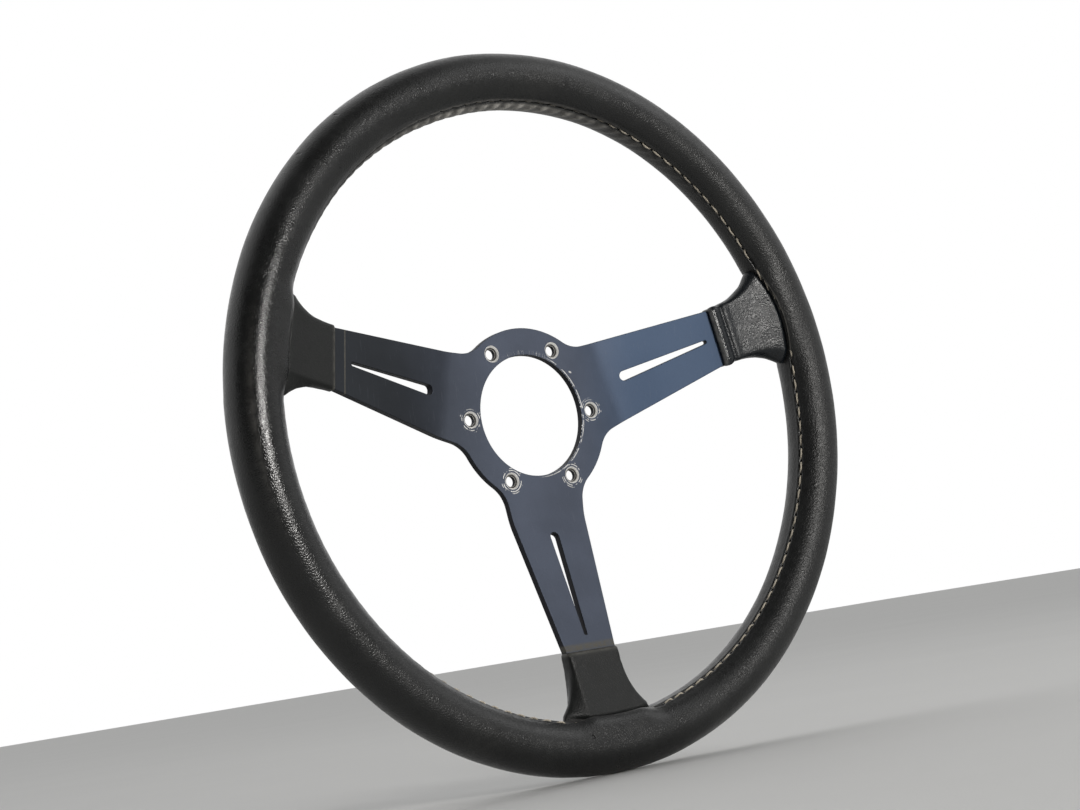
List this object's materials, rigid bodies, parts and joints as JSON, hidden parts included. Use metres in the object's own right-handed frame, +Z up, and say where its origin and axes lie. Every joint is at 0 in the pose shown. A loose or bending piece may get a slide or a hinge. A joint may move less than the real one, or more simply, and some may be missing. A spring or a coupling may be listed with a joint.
{
  "type": "sports steering wheel",
  "caption": "Dished sports steering wheel: a leather-wrapped round rim on a slotted, dark metal spoke plate with a drilled hub.",
  "frame": {"origin": "on the wheel's axis, on the back face of the hub that bolts to the steering boss", "axes": "+Y along the wheel's axis from the driver towards the steering column, +X to the driver's right, +Z up, with the single spoke pointing down"},
  "size_m": [0.3599, 0.0392, 0.36],
  "materials": {
    "anodised_plate": "dark blue-black anodised, fine satin, bare metal at worn edges",
    "hoop_steel": "plain rolled steel",
    "rivet_metal": "plain",
    "foam": "moulded foam skin",
    "rim_leather": "black, worn smooth, soft sheen",
    "boot_leather": "black, thin, fine grain",
    "thread": "waxed off-white thread, soiled",
    "dark_thread": "waxed black thread"
  },
  "bodies": {
    "root": {"spoke_plate": "anodised_plate", "rim_hoop": "hoop_steel", "hoop_rivets": "rivet_metal", "foam_core": "foam", "rim_leather": "rim_leather", "left_boot": "boot_leather", "right_boot": "boot_leather", "bottom_boot": "boot_leather", "upper_seam_thread": "thread", "lower_left_seam_thread": "thread", "lower_right_seam_thread": "thread", "left_boot_front_thread": "thread", "right_boot_front_thread": "thread", "bottom_boot_front_thread": "thread", "left_boot_back_thread": "dark_thread", "right_boot_back_thread": "dark_thread", "bottom_boot_back_thread": "dark_thread"}
  },
  "joints": []
}
